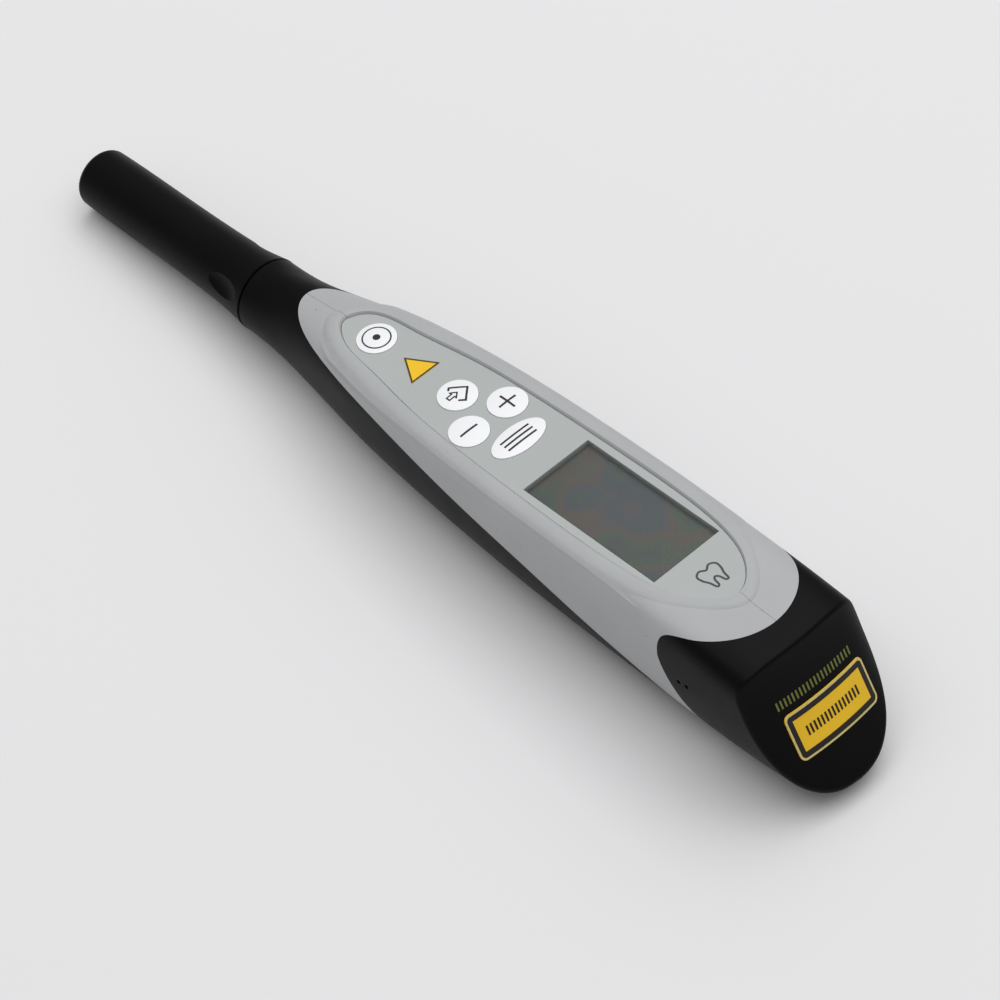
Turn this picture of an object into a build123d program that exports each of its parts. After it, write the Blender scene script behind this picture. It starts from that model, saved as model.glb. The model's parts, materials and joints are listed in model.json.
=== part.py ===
from build123d import *
import math
import os

# Pen-shaped dental detector with a display: key panel on top, a grip sleeve that holds the
# measuring tip, and a rear cap over the battery.
# Millimetres. The pen is modelled in its own axes: +X runs along it to the rear, +Z stands out
# of the key panel, whose face is Z = 0, and the display's centre is the origin.
# At the end it is tilted into its resting attitude and moved so that the origin is the centre
# of the bottom of its box.

# ---------------------------------------------------------------- driving dimensions
AXIS_Z = -10.5               # height of the axis of the nose, sleeve and optics

SLEEVE_FRONT_X = -157.0
SEAM_X = -103.4              # joint between the grip sleeve and the body
SEAM_GAP = 0.3
SLEEVE_RADII = [             # (x, outer radius) from the rounded front to the seam
    (-155.4, 6.35), (-140.0, 6.55), (-116.0, 6.85), (-109.0, 7.25), (-103.7, 7.9)]
SLEEVE_FRONT_ROUND = 1.6
SOCKET_RADIUS = 3.0          # socket that takes the measuring tip
SOCKET_CHAMFER = 0.7
SOCKET_DEPTH = 11.5
GUIDE_SPACE_RADIUS = 3.9     # sleeve bore around the front of the nose
NOSE_SPACE_RADIUS = 5.4      # sleeve bore around the nose
COLLAR_SPACE_RADIUS = 5.8    # sleeve bore around the turning collar
GUIDE_SPACE_END_X = -133.0
COLLAR_SPACE_END_X = -122.0

RECESS_ANGLES = (-62, 62, 180)  # finger recesses round the rear of the sleeve, from the top
RECESS_CENTRE_X = -110.2
RECESS_HALF_SIZES = (6.0, 3.6, 2.4)
RECESS_DEPTH = 0.8
RECESS_SURFACE_RADIUS = 7.2  # the sleeve's radius at the middle of a recess
SPRING_RING_SETBACK = 0.6    # from the socket's wall to the ring behind it
SPRING_RING_WIDTH = 1.0
SPRING_RING_GRIP = 0.25      # the ring's bore is this much wider than the socket, in radius

COLLAR_FRONT_X = -119.5
COLLAR_REAR_X = -108.0
COLLAR_RUNNING_GAP = 0.1
COLLAR_RIBS = 4
COLLAR_RIB_SIZE = (0.25, 1.0)  # height over the sleeve's bore, width

NOSE_RADIUS = 5.0
NOSE_STEP_RADIUS = 3.4
NOSE_SHOULDER_RADIUS = 5.5
NOSE_FRONT_X = -141.0
NOSE_STEP_X = -132.0
NOSE_REAR_X = -96.0
SEAL_X = -127.0              # soft ring that takes up the play between nose and sleeve
SEAL_RADII = (4.85, 0.43)    # of its circle and of its section
SEAL_GROOVE = (1.1, 4.4)     # width, radius of its floor
CLIP_SIZE = (0.8, 5.3)       # thickness and outer radius of the collar's retaining ring
CLIP_GROOVE = (0.9, 4.5)     # width, radius of its floor
CLIP_GROOVE_X = COLLAR_FRONT_X - 1.35
LIGHT_GUIDE_RADIUS = 1.2
LENS_SEAT_RADIUS = 3.2
LENS_SEAT_X = -103.0

LENS_FACE_RADIUS = 8.0       # curvature of both faces
LENS_EDGE = 1.2
OPTICS_START_X = -95.9
OPTICS_END_X = -75.0
OPTICS_RADIUS = 5.1
OPTICS_BORE = 2.8
OPTICS_WINDOW_RADIUS = 2.0   # opening between the splitter and the photodiode
SPLITTER_X = -88.0
SPLITTER_SIZE = (7.0, 5.5, 0.8)
SPLITTER_SLOT = (7.2, 5.8, 0.9)
PHOTODIODE_HEIGHTS = (4.0, 5.2)  # of its package over the optical axis

# Body sections: x, half width, top z, bottom z, z of the widest line,
# and the powers of the superellipses above and below that line.
BODY_SECTIONS = [
    (-103.1, 7.85, -2.6, -18.4, -10.5, 2.0, 2.0),
    (-92.0, 8.2, -1.5, -19.7, -10.4, 2.0, 2.0),
    (-80.0, 9.5, -0.1, -22.0, -10.3, 2.8, 2.2),
    (-65.0, 11.8, 0.7, -23.6, -9.9, 4.4, 2.3),
    (-45.0, 13.8, 0.9, -25.1, -9.5, 7.0, 2.4),
    (-20.0, 14.8, 0.9, -27.7, -9.4, 9.0, 2.55),
    (10.0, 15.0, 0.8, -30.6, -9.2, 9.0, 2.5),
    (32.0, 15.0, 0.1, -31.7, -9.0, 6.0, 2.55),
    (45.0, 15.0, -0.8, -31.8, -9.2, 4.0, 2.5),
    (62.0, 14.8, -2.1, -30.9, -9.4, 3.4, 2.4)]
SECTION_POINTS = 72
POINT_CROWDING = 0.5         # under 1 crowds a section's points towards its shoulders
SHOULDER_LEAN = 0.08         # share of the half width by which a square shoulder leans in
SHOULDER_CROWN = 0.035       # share of the height by which the top falls off towards it
SQUARE_POWER = 7.0           # sections of this power or more have the whole lean and crown
HOUSING_SEAM = 0.06          # gap between the two halves of the grey housing
SIDE_WALL = 1.8
TOP_WALL = 3.4
NECK_WALL = 3.0

# Raised bead round the key panel: (distance outside the panel, z).
BEAD_PROFILE = [
    (5.0, -1.5), (4.3, -0.95), (3.6, -0.4), (3.1, 0.05), (2.5, 0.36), (1.8, 0.52), (0.8, 0.57)]
BEAD_INSET = 0.5             # the bead ends this far inside the body's sides
BEAD_HEADROOM = 2.0          # and at most this far above its top
# Rounded wall inside it, from the panel's face outwards: (distance outside the panel, z).
MOUTH_PROFILE = [(0.0, 0.0), (0.1, 0.3), (0.3, 0.55), (0.65, 0.74), (1.2, 0.87), (2.4, 0.97)]

# Border of the grey housing over the black keel, seen from the side: (x, z) points.
KEEL_BORDER = [
    (-89.6, -1.1), (-86.0, -2.1), (-76.0, -3.0), (-60.0, -3.5), (-44.0, -5.7), (-27.0, -8.9),
    (-9.5, -12.7), (7.0, -17.6), (19.0, -21.6), (29.0, -26.6), (37.0, -33.5)]

# Border of the rear cap, seen from the side: (x, z) points.
CAP_SIDE_BORDER = [
    (27.6, 3.0), (25.6, -1.2), (23.9, -5.0), (24.0, -9.5), (26.4, -16.2), (29.6, -22.6),
    (36.5, -34.0)]
# Edge of the housing's tongue over the cap, seen from above: (x, y) points of one half.
TONGUE_EDGE = [(40.6, 0.0), (38.2, 7.8), (32.6, 12.5), (26.5, 14.25), (22.5, 15.6)]
TONGUE_DEPTH_Z = -9.0

# Rear face of the cap: x of its middle at several heights z, and its plan: (distance from the
# middle, how far it falls back) points of one half.
REAR_FACE = [(4.0, 46.1), (-7.0, 48.2), (-14.0, 50.9), (-21.0, 54.0), (-28.0, 57.5), (-35.0, 61.6)]
REAR_PLAN = [(0.0, 0.0), (8.5, -0.5), (12.5, -1.4), (14.5, -2.6), (15.8, -5.2)]
REAR_EDGE_ROUND = 1.0
CAP_REAR_WALL = 2.0
CAP_HALF_WIDTH = 15.0
DIMPLES = [(28.9, -13.2), (31.0, -12.9)]  # x and z of the small blind holes in the cap's sides
DIMPLE_RADIUS = 0.5
DIMPLE_DEPTH = 0.6

# Half outline of the key panel: (x, half width).
PANEL_OUTLINE = [
    (-77.0, 0.0), (-75.0, 3.3), (-65.0, 6.1), (-50.0, 8.25), (-30.0, 9.6), (-5.0, 10.1),
    (12.0, 9.7), (21.0, 8.3), (27.8, 5.0), (31.0, 0.0)]
PANEL_GAP = 0.1
PANEL_THICK = 1.2
PANEL_LEDGE = 1.4

WINDOW_LENGTH = 35.2         # along X
WINDOW_WIDTH = 16.6
WINDOW_SUNK = 0.45
GLASS_THICK = 0.7
LCD_LENGTH = 38.0
LCD_WIDTH = 17.6
LCD_TOP_Z = -1.35
LCD_THICK = 2.0

KEY_RADIUS = 4.0
KEY_GAP = 0.06
KEY_TRAVEL = 0.4
KEY_PLAY = 0.05              # left between stem and switch plunger at rest
KEY_RIM_Z = 0.22             # the rim's height above the panel
KEY_DOME = 0.3               # the dome's rise over the rim
KEY_FLANGE_THICK = 0.7
KEY_FLANGE_LIP = 0.6
KEY_STEM_RADIUS = 1.2
ROUND_KEYS = {
    "power_key": (-68.35, 0.0),
    "save_key": (-45.0, 0.0),
    "plus_key": (-36.3, 4.96),
    "minus_key": (-36.3, -4.96)}
MENU_KEY_X = -27.8
MENU_KEY_LENGTH = 6.7        # along X
MENU_KEY_WIDTH = 12.6

BOARD_TOP_Z = -5.2
BOARD_THICK = 1.2
SWITCH_PLUNGER_Z = -3.6
KEY_STEM_Z = SWITCH_PLUNGER_Z + KEY_TRAVEL + KEY_PLAY
BOARD_SCREWS = [(-60.0, 5.2), (-60.0, -5.2), (14.0, 10.0), (14.0, -10.0)]
POST_RADIUS = 1.3            # posts of the lower shell under the screws

BATTERY_RADIUS = 7.25
BATTERY_LENGTH = 49.5
BATTERY_BUTTON = (2.75, 1.0)  # radius, height
BATTERY_FRONT_X = -8.0
BATTERY_Z = -17.1
TRAY_FRONT_X = -15.5
BULKHEAD_X = 21.5
BULKHEAD_THICK = 2.0

TRIANGLE_SIDE = 7.4
TRIANGLE_BASE_X = -54.1
LABEL_WIDTH = 19.8
LABEL_HEIGHT = 9.2
LABEL_CORNER_RADIUS = 1.2
LABEL_CENTRE = (0.9, -17.0)  # y and z
LABEL_THICK = 0.2

REST_DEPTH = 0.12            # the belly is flattened by this much where the pen stands
BELLY_X = 8.0
BELLY_Z = -30.45             # lowest line of the body at BELLY_X, before it is flattened
TOUCH_X, TOUCH_RADIUS = SLEEVE_RADII[0]
TOUCH_Z = AXIS_Z - TOUCH_RADIUS
REST_TILT = math.degrees(math.atan2(TOUCH_Z - BELLY_Z - REST_DEPTH, BELLY_X - TOUCH_X))

SKIN = 0.02                  # how far a cutter runs past the face it opens


# ---------------------------------------------------------------- helpers
def on_axis(shape, x=0.0):
    """Move a shape made about +Z so that it runs along +X on the nose axis, starting at x."""
    return Pos(x, 0, AXIS_Z) * Rot(0, 90, 0) * shape


def turned(points):
    """Solid of revolution about the nose axis from (x, radius) points."""
    corners = [(x, AXIS_Z + radius) for x, radius in points]
    wire = Polyline(*corners, close=True)
    profile = Plane.XZ * make_face(wire)
    return revolve(profile, Axis((0, 0, AXIS_Z), (1, 0, 0)))


def rod(x_start, x_end, radius, z=AXIS_Z, y=0.0):
    """Cylinder along +X."""
    cylinder = Cylinder(radius, x_end - x_start, align=(Align.CENTER, Align.CENTER, Align.MIN))
    return Pos(x_start, y, z) * Rot(0, 90, 0) * cylinder


def both_sides(points):
    """Points of a half outline that ends at y = 0, followed by their mirror images."""
    return points + [(x, -y) for x, y in reversed(points[:-1])]


def block(x_range, y_range, z_range):
    """Box from its ranges."""
    sizes = [high - low for low, high in (x_range, y_range, z_range)]
    return Pos(x_range[0], y_range[0], z_range[0]) * Box(*sizes, align=(Align.MIN,) * 3)


def superellipse_wire(x, half_width, top, bottom, middle, top_power, bottom_power):
    """Closed body section in the plane at x. The squarer its shoulders are, the more they lean in."""
    squareness = min(1.0, (top_power - 2) / (SQUARE_POWER - 2))
    points = []
    for step in range(SECTION_POINTS):
        angle = 2 * math.pi * step / SECTION_POINTS - math.pi / 2
        side = math.copysign(abs(math.cos(angle)) ** POINT_CROWDING, math.cos(angle))
        up = math.copysign(abs(math.sin(angle)) ** POINT_CROWDING, math.sin(angle))
        power = top_power if up >= 0 else bottom_power
        reach = (abs(side) ** power + abs(up) ** power) ** (-1 / power)
        side, up = side * reach, up * reach
        if up >= 0:
            y = half_width * side * (1 - SHOULDER_LEAN * squareness * up ** 2)
            z = middle + (top - middle) * up * (1 - SHOULDER_CROWN * squareness * side ** 2)
        else:
            y = half_width * side
            z = middle + (middle - bottom) * up
        points.append((x, y, z))
    return Wire([Edge.make_spline(points, periodic=True)])


def body_loft(side_wall=0.0, top_wall=0.0):
    """The body's outer shape, or a smaller one inside it."""
    wires = []
    for x, half_width, top, bottom, middle, top_power, bottom_power in BODY_SECTIONS:
        wires.append(superellipse_wire(x, half_width - side_wall, top - top_wall,
                                       bottom + side_wall, middle, top_power, bottom_power))
    return Solid.make_loft(wires)


def rear_cutter(shift=0.0):
    """Everything in front of the cap's rear face, which leans back and bulges."""
    front_x = -110.0
    faces = []
    for z, middle_x in REAR_FACE:
        half = [(middle_x + shift + fall, y) for y, fall in REAR_PLAN[::-1]]
        edge = Spline(*both_sides(half))
        start, end = half[0], (half[0][0], -half[0][1])
        rest = Polyline(end, (front_x, end[1]), (front_x, start[1]), start)
        faces.append(Plane.XY.offset(z) * make_face([edge, rest]))
    return loft(faces)


def above_keel():
    """Prism of everything above the border between the housing and the keel."""
    curve = Spline(*KEEL_BORDER)
    start, end = KEEL_BORDER[0], KEEL_BORDER[-1]
    rest = Polyline(end, (80, end[1]), (80, 10), (start[0] - 1.2, 10), (start[0] - 1.2, 1.5), start)
    return extrude(Plane.XZ * make_face([curve, rest]), 25, both=True)


def cap_region():
    """Everything behind the cap's border, less the housing's tongue."""
    curve = Spline(*CAP_SIDE_BORDER)
    start, end = CAP_SIDE_BORDER[0], CAP_SIDE_BORDER[-1]
    rest = Polyline(end, (80, end[1]), (80, start[1]), start)
    behind = extrude(Plane.XZ * make_face([curve, rest]), 25, both=True)
    tip = TONGUE_EDGE[-1]
    edge = Spline(*both_sides(TONGUE_EDGE[::-1]))
    front = Polyline((tip[0], -tip[1]), (0, -tip[1]), (0, tip[1]), tip)
    tongue = Pos(0, 0, TONGUE_DEPTH_Z) * extrude(make_face([edge, front]), 15)
    return behind - tongue


def panel_face(grow=0.0, z=0.0):
    """The key panel's outline, grown by a margin."""
    first, last = PANEL_OUTLINE[0], PANEL_OUTLINE[-1]
    sides = [(x, y + grow) for x, y in PANEL_OUTLINE[1:-1]]
    other = [(x, -y) for x, y in reversed(sides)]
    ring = [(first[0] - grow, 0)] + sides + [(last[0] + grow, 0)] + other
    return Plane.XY.offset(z) * make_face(Edge.make_spline(ring, periodic=True))


def panel_bead():
    """Raised bead round the panel. It shows where the body's top falls away at both ends."""
    bead = loft([panel_face(grow, z) for grow, z in BEAD_PROFILE])
    inside_the_shoulders = body_loft(BEAD_INSET, -BEAD_HEADROOM)
    return bead & inside_the_shoulders


def panel_recess():
    """What the housing loses for the panel: a flared mouth, a seat and an opening under it."""
    mouth = loft([panel_face(grow, z) for grow, z in MOUTH_PROFILE])
    seat = Pos(0, 0, -PANEL_THICK) * extrude(panel_face(), PANEL_THICK + SKIN)
    opening = Pos(0, 0, -10) * extrude(panel_face(-PANEL_LEDGE), 10)
    lcd_pocket = block((-LCD_LENGTH / 2 - 0.4, LCD_LENGTH / 2 + 0.4),
                       (-LCD_WIDTH / 2 - 0.3, LCD_WIDTH / 2 + 0.3), (-8, -PANEL_THICK))
    pocket_radius = KEY_RADIUS + KEY_FLANGE_LIP + 0.3
    key_pocket = Cylinder(pocket_radius, 8, align=(Align.CENTER, Align.CENTER, Align.MAX))
    key_pockets = [Pos(x, y, -PANEL_THICK) * key_pocket for x, y in ROUND_KEYS.values()]
    return [mouth, seat, opening, lcd_pocket] + key_pockets


def round_screw(length, head_radius, head_height, shank_radius):
    """Screw pointing down, the underside of its head at the origin."""
    head = Cylinder(head_radius, head_height, align=(Align.CENTER, Align.CENTER, Align.MIN))
    shank = Cylinder(shank_radius, length, align=(Align.CENTER, Align.CENTER, Align.MAX))
    slot = Pos(0, 0, head_height) * Box(2 * head_radius, 0.3, 0.6)
    cross = Pos(0, 0, head_height) * Box(0.3, 2 * head_radius, 0.6)
    return head + shank - slot - cross


# ---------------------------------------------------------------- grip sleeve and nose
def grip_sleeve():
    front, end = SLEEVE_FRONT_X, SEAM_X - SEAM_GAP / 2
    first = SLEEVE_RADII[0]
    nose_round = ThreePointArc(
        (front, AXIS_Z + first[1] - SLEEVE_FRONT_ROUND),
        (front + 0.29 * SLEEVE_FRONT_ROUND, AXIS_Z + first[1] - 0.29 * SLEEVE_FRONT_ROUND),
        (first[0], AXIS_Z + first[1]))
    side = Spline(*[(x, AXIS_Z + radius) for x, radius in SLEEVE_RADII])
    last = SLEEVE_RADII[-1]
    bore = [
        (last[0], last[1]), (end, last[1] - 0.25), (end, COLLAR_SPACE_RADIUS),
        (COLLAR_SPACE_END_X, COLLAR_SPACE_RADIUS), (COLLAR_SPACE_END_X, NOSE_SPACE_RADIUS),
        (GUIDE_SPACE_END_X, NOSE_SPACE_RADIUS), (GUIDE_SPACE_END_X, GUIDE_SPACE_RADIUS),
        (front + SOCKET_DEPTH, GUIDE_SPACE_RADIUS), (front + SOCKET_DEPTH, SOCKET_RADIUS),
        (front + SOCKET_CHAMFER, SOCKET_RADIUS), (front, SOCKET_RADIUS + SOCKET_CHAMFER),
        (front, first[1] - SLEEVE_FRONT_ROUND)]
    inside = Polyline(*[(x, AXIS_Z + radius) for x, radius in bore])
    profile = Plane.XZ * make_face([nose_round, side, inside])
    sleeve = revolve(profile, Axis((0, 0, AXIS_Z), (1, 0, 0)))

    length, width, height = RECESS_HALF_SIZES
    recess = scale(Sphere(1), by=(length, width, height))
    recess = Pos(RECESS_CENTRE_X, 0, RECESS_SURFACE_RADIUS + height - RECESS_DEPTH) * recess
    for angle in RECESS_ANGLES:
        sleeve -= Pos(0, 0, AXIS_Z) * Rot(angle, 0, 0) * recess

    rib_height, rib_width = COLLAR_RIB_SIZE
    groove = block((COLLAR_SPACE_END_X, SEAM_X + 1),
                   (-rib_width / 2 - 0.15, rib_width / 2 + 0.15),
                   (0, COLLAR_SPACE_RADIUS + rib_height + 0.05))
    for step in range(COLLAR_RIBS):
        sleeve -= Pos(0, 0, AXIS_Z) * Rot(360 / COLLAR_RIBS * step + 30, 0, 0) * groove
    return sleeve


def tip_spring_ring():
    """Open spring ring that grips the measuring tip, behind the socket's wall."""
    start = SLEEVE_FRONT_X + SOCKET_DEPTH + SPRING_RING_SETBACK
    end = start + SPRING_RING_WIDTH
    inner = SOCKET_RADIUS + SPRING_RING_GRIP
    ring = turned([(start, inner), (end, inner), (end, GUIDE_SPACE_RADIUS), (start, GUIDE_SPACE_RADIUS)])
    gap = block((start - 1, end + 1), (-SPRING_RING_WIDTH, SPRING_RING_WIDTH), (AXIS_Z, AXIS_Z + 5))
    return ring - gap


def turn_collar():
    inner = NOSE_RADIUS + COLLAR_RUNNING_GAP
    outer = COLLAR_SPACE_RADIUS - COLLAR_RUNNING_GAP
    collar = turned([(COLLAR_FRONT_X, inner), (COLLAR_REAR_X, inner), (COLLAR_REAR_X, outer),
                     (COLLAR_FRONT_X + 0.4, outer), (COLLAR_FRONT_X, outer - 0.3)])
    rib_height, rib_width = COLLAR_RIB_SIZE
    rib = block((COLLAR_FRONT_X + 1, COLLAR_REAR_X - 1), (-rib_width / 2, rib_width / 2),
                (outer - 0.2, COLLAR_SPACE_RADIUS + rib_height - 0.15))
    for step in range(COLLAR_RIBS):
        collar += Pos(0, 0, AXIS_Z) * Rot(360 / COLLAR_RIBS * step + 30, 0, 0) * rib
    return collar


def collar_clip():
    """Retaining ring in the nose's groove, in front of the collar."""
    thickness, outer = CLIP_SIZE
    groove_width, inner = CLIP_GROOVE
    start = CLIP_GROOVE_X + (groove_width - thickness) / 2
    end = start + thickness
    ring = turned([(start, inner), (end, inner), (end, outer), (start, outer)])
    return ring - block((start - 1, end + 1), (-1.2, 1.2), (AXIS_Z, AXIS_Z + outer + 1))


def nose_tube():
    seal_width, seal_floor = SEAL_GROOVE
    seal_front, seal_rear = SEAL_X - seal_width / 2, SEAL_X + seal_width / 2
    clip_width, clip_floor = CLIP_GROOVE
    clip_rear = CLIP_GROOVE_X + clip_width
    shoulder_x = COLLAR_REAR_X + 0.2
    return turned([
        (NOSE_FRONT_X, LIGHT_GUIDE_RADIUS), (NOSE_FRONT_X, NOSE_STEP_RADIUS - 0.3),
        (NOSE_FRONT_X + 0.3, NOSE_STEP_RADIUS), (NOSE_STEP_X, NOSE_STEP_RADIUS),
        (NOSE_STEP_X, NOSE_RADIUS - 0.4), (NOSE_STEP_X + 0.4, NOSE_RADIUS),
        (seal_front, NOSE_RADIUS), (seal_front, seal_floor), (seal_rear, seal_floor),
        (seal_rear, NOSE_RADIUS), (CLIP_GROOVE_X, NOSE_RADIUS), (CLIP_GROOVE_X, clip_floor),
        (clip_rear, clip_floor), (clip_rear, NOSE_RADIUS),
        (shoulder_x, NOSE_RADIUS), (shoulder_x, NOSE_SHOULDER_RADIUS),
        (NOSE_REAR_X, NOSE_SHOULDER_RADIUS), (NOSE_REAR_X, LENS_SEAT_RADIUS),
        (LENS_SEAT_X, LENS_SEAT_RADIUS), (LENS_SEAT_X, LIGHT_GUIDE_RADIUS)])


def nose_seal():
    return on_axis(Torus(*SEAL_RADII), SEAL_X)


def light_guide():
    return rod(NOSE_FRONT_X - 0.2, LENS_SEAT_X, LIGHT_GUIDE_RADIUS)


# ---------------------------------------------------------------- optics
def collimating_lens():
    radius = LENS_SEAT_RADIUS - 0.05
    x = LENS_SEAT_X + 1.0
    sag = LENS_FACE_RADIUS - math.sqrt(LENS_FACE_RADIUS ** 2 - radius ** 2)
    half_angle = math.degrees(math.asin(radius / LENS_FACE_RADIUS))
    front = CenterArc((x + LENS_FACE_RADIUS, AXIS_Z), LENS_FACE_RADIUS, 180 - half_angle, half_angle)
    rim = Line((x + sag, AXIS_Z + radius), (x + sag + LENS_EDGE, AXIS_Z + radius))
    back_x = x + 2 * sag + LENS_EDGE
    back = CenterArc((back_x - LENS_FACE_RADIUS, AXIS_Z), LENS_FACE_RADIUS, 0, half_angle)
    axis_line = Line((x, AXIS_Z), (back_x, AXIS_Z))
    return revolve(Plane.XZ * make_face([front, rim, back, axis_line]), Axis((0, 0, AXIS_Z), (1, 0, 0)))


def splitter_plate(size):
    return Pos(SPLITTER_X, 0, AXIS_Z) * Rot(0, 45, 0) * Box(*size)


def optics_barrel():
    barrel = rod(OPTICS_START_X, OPTICS_END_X, OPTICS_RADIUS)
    barrel -= rod(OPTICS_START_X - 1, OPTICS_END_X + 1, OPTICS_BORE)
    barrel -= splitter_plate(SPLITTER_SLOT)
    window = Cylinder(OPTICS_WINDOW_RADIUS, 6, align=(Align.CENTER, Align.CENTER, Align.MIN))
    barrel -= Pos(SPLITTER_X, 0, AXIS_Z) * window
    seat_z = AXIS_Z + PHOTODIODE_HEIGHTS[0]
    barrel -= block((SPLITTER_X - 3, SPLITTER_X + 3), (-3, 3), (seat_z, seat_z + 4))
    return barrel


def photodiode():
    bottom, top = PHOTODIODE_HEIGHTS
    package = block((SPLITTER_X - 2.5, SPLITTER_X + 2.5), (-2.5, 2.5), (AXIS_Z + bottom, AXIS_Z + top))
    pin_z = AXIS_Z + bottom + 0.2
    pins = [block((SPLITTER_X + x - 0.2, SPLITTER_X + x + 0.2), (y, y + 1.0), (pin_z, pin_z + 0.2))
            for x in (-1.5, 1.5) for y in (-3.4, 2.4)]
    for pin in pins:
        package += pin
    return package


def laser_diode():
    can = rod(OPTICS_END_X - 4.0, OPTICS_END_X - 0.8, 2.3)
    base = rod(OPTICS_END_X - 1.0, OPTICS_END_X + 0.2, OPTICS_BORE)
    diode = can + base
    for angle in (90, 210, 330):
        y, z = math.cos(math.radians(angle)), math.sin(math.radians(angle))
        diode += rod(OPTICS_END_X, OPTICS_END_X + 2.2, 0.22, AXIS_Z + z, y)
    return diode


def laser_board():
    board = rod(OPTICS_END_X + 0.6, OPTICS_END_X + 1.6, 5.0)
    for angle in (90, 210, 330):
        y, z = math.cos(math.radians(angle)), math.sin(math.radians(angle))
        board -= rod(OPTICS_END_X, OPTICS_END_X + 3, 0.3, AXIS_Z + z, y)
    return board


# ---------------------------------------------------------------- body shells
def belly_plane_cutter():
    """Half space under the plane that the pen stands on."""
    slab = Box(300, 80, 30, align=(Align.CENTER, Align.CENTER, Align.MAX))
    return Pos(BELLY_X, 0, BELLY_Z + REST_DEPTH) * Rot(0, REST_TILT, 0) * slab


def board_posts():
    """Posts of the lower shell under the board's screws."""
    posts = []
    for x, y in BOARD_SCREWS:
        post = Cylinder(POST_RADIUS, 26, align=(Align.CENTER, Align.CENTER, Align.MAX))
        hole = Cylinder(0.6, 7, align=(Align.CENTER, Align.CENTER, Align.MAX))
        posts.append(Pos(x, y, BOARD_TOP_Z - BOARD_THICK) * (post - hole))
    return posts


def make_shells():
    outer = body_loft() & rear_cutter()
    rear_edges = [edge for edge in outer.edges() if edge.bounding_box().min.X > 40]
    outer = fillet(rear_edges, REAR_EDGE_ROUND) + panel_bead()
    inner = body_loft(SIDE_WALL, TOP_WALL) & rear_cutter(-CAP_REAR_WALL)
    room = block((SEAM_X + NECK_WALL, 80), (-30, 30), (-60, 20))
    inner = inner & room
    shell = outer - inner - belly_plane_cutter()
    cap_space = cap_region()
    cap = shell & cap_space
    front = shell - cap_space
    housing_space = above_keel()
    housing = front & housing_space
    for cutter in panel_recess():
        housing -= cutter
    lower = front - housing_space
    lower -= rod(SEAM_X - 1, NOSE_REAR_X + SKIN, NOSE_SHOULDER_RADIUS)
    lower -= rod(NOSE_REAR_X, OPTICS_END_X, OPTICS_RADIUS + SKIN)
    for post in board_posts():
        lower += post & body_loft(SIDE_WALL / 2, TOP_WALL)
    left = housing & block((-120, 90), (-30, -HOUSING_SEAM / 2), (-60, 30))
    right = housing & block((-120, 90), (HOUSING_SEAM / 2, 30), (-60, 30))
    return cap, lower, left, right, inner


def finish_cap(cap):
    """Dimples on both sides of the cap."""
    for side in (-1, 1):
        for x, z in DIMPLES:
            dimple = Cylinder(DIMPLE_RADIUS, 2 * DIMPLE_DEPTH)
            cap -= Pos(x, side * CAP_HALF_WIDTH, z) * Rot(90, 0, 0) * dimple
    return cap


# ---------------------------------------------------------------- panel, keys and display
def face_panel():
    panel = Pos(0, 0, -PANEL_THICK) * extrude(panel_face(-PANEL_GAP), PANEL_THICK)
    panel -= block((-WINDOW_LENGTH / 2, WINDOW_LENGTH / 2), (-WINDOW_WIDTH / 2, WINDOW_WIDTH / 2),
                   (-5, 5))
    for x, y in ROUND_KEYS.values():
        panel -= Pos(x, y, 0) * Cylinder(KEY_RADIUS + KEY_GAP, 5)
    menu_hole = Ellipse(MENU_KEY_LENGTH / 2 + KEY_GAP, MENU_KEY_WIDTH / 2 + KEY_GAP)
    panel -= Pos(MENU_KEY_X, 0, -3) * extrude(menu_hole, 6)
    return panel


def key_cap(length, width):
    """Key with a low dome, a flange that the panel holds in, and a stem to its switch."""
    outline = Ellipse(length / 2, width / 2) if length != width else Circle(length / 2)
    flange_top = -PANEL_THICK - 0.05
    flange_bottom = flange_top - KEY_FLANGE_THICK
    cap = Pos(0, 0, flange_bottom) * extrude(outline, KEY_RIM_Z + KEY_DOME - flange_bottom)
    half = max(length, width) / 2
    sphere_radius = (half ** 2 + KEY_DOME ** 2) / (2 * KEY_DOME)
    dome = Pos(0, 0, KEY_RIM_Z + KEY_DOME - sphere_radius) * Sphere(sphere_radius)
    if length != width:
        dome = Pos(0, 0, KEY_RIM_Z + KEY_DOME) * scale(
            Pos(0, 0, -sphere_radius) * Sphere(sphere_radius), by=(length / width, 1, 1))
    cap = cap & dome
    lip = Ellipse(length / 2 + KEY_FLANGE_LIP, width / 2 + KEY_FLANGE_LIP)
    cap += Pos(0, 0, flange_bottom) * extrude(lip, KEY_FLANGE_THICK)
    stem_length = flange_bottom - KEY_STEM_Z
    stem = Cylinder(KEY_STEM_RADIUS, stem_length + 0.1, align=(Align.CENTER, Align.CENTER, Align.MIN))
    return cap + Pos(0, 0, KEY_STEM_Z) * stem


def display_window():
    sizes = (WINDOW_LENGTH - 0.1, WINDOW_WIDTH - 0.1, GLASS_THICK)
    return Pos(0, 0, -WINDOW_SUNK) * Box(*sizes, align=(Align.CENTER, Align.CENTER, Align.MAX))


def lcd_module():
    module = Box(LCD_LENGTH, LCD_WIDTH, LCD_THICK, align=(Align.CENTER, Align.CENTER, Align.MAX))
    return Pos(0, 0, LCD_TOP_Z) * module


def lcd_holder():
    """Frame that carries the display module on the board."""
    top = LCD_TOP_Z - LCD_THICK
    outer = (LCD_LENGTH, LCD_WIDTH, top - BOARD_TOP_Z)
    frame = Pos(0, 0, BOARD_TOP_Z) * Box(*outer, align=(Align.CENTER, Align.CENTER, Align.MIN))
    inner = (LCD_LENGTH - 4, LCD_WIDTH - 4, 8)
    return frame - Pos(0, 0, BOARD_TOP_Z) * Box(*inner)


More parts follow.
